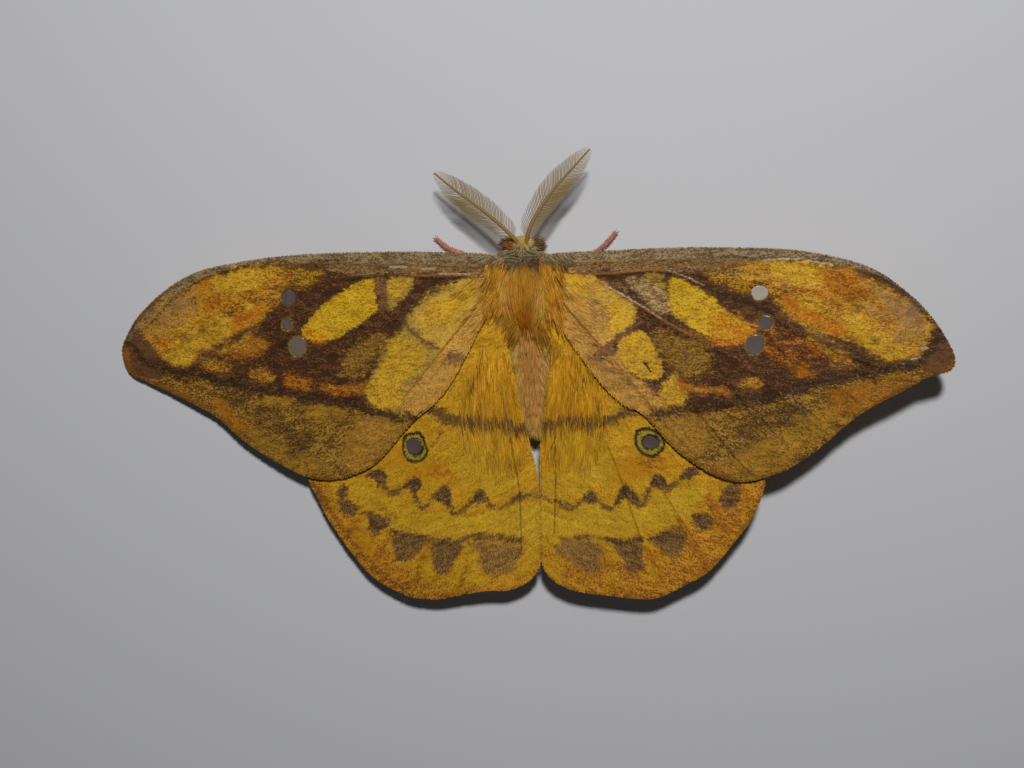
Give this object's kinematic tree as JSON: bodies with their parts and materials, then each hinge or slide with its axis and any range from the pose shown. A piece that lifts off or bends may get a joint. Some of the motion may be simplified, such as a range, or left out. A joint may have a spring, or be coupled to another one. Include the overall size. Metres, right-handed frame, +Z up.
{
  "type": "moth",
  "caption": "Silk moth with broad spread wings, feathered antennae and a furry body, resting flat on its feet.",
  "frame": {"origin": "on the surface the moth rests on, under the middle of its box", "axes": "+Y towards the head, +X to the side of the right-hand wing as seen from above with the head up, +Z up from the surface"},
  "size_m": [0.1208, 0.0666, 0.0133],
  "materials": {
    "head_fur": "short fur, pale yellow and olive grey",
    "thorax_fur": "long golden orange fur",
    "abdomen_fur": "short peach orange fur",
    "eye": "dark, glossy, faceted",
    "antenna": "dry straw brown",
    "forewing_scales": "fine scales, ochre, yellow and dark brown",
    "hindwing_scales": "fine scales, golden yellow and brown",
    "leg_fur": "short salmon pink fur"
  },
  "bodies": {
    "root": {"head": "head_fur", "thorax": "thorax_fur", "abdomen": "abdomen_fur", "eye_left": "eye", "eye_right": "eye", "antenna_left": "antenna", "antenna_right": "antenna", "forewing_left": "forewing_scales", "forewing_right": "forewing_scales", "hindwing_left": "hindwing_scales", "hindwing_right": "hindwing_scales", "foreleg_left": "leg_fur", "foreleg_right": "leg_fur", "midleg_left": "leg_fur", "midleg_right": "leg_fur", "hindleg_left": "leg_fur", "hindleg_right": "leg_fur"}
  },
  "joints": []
}
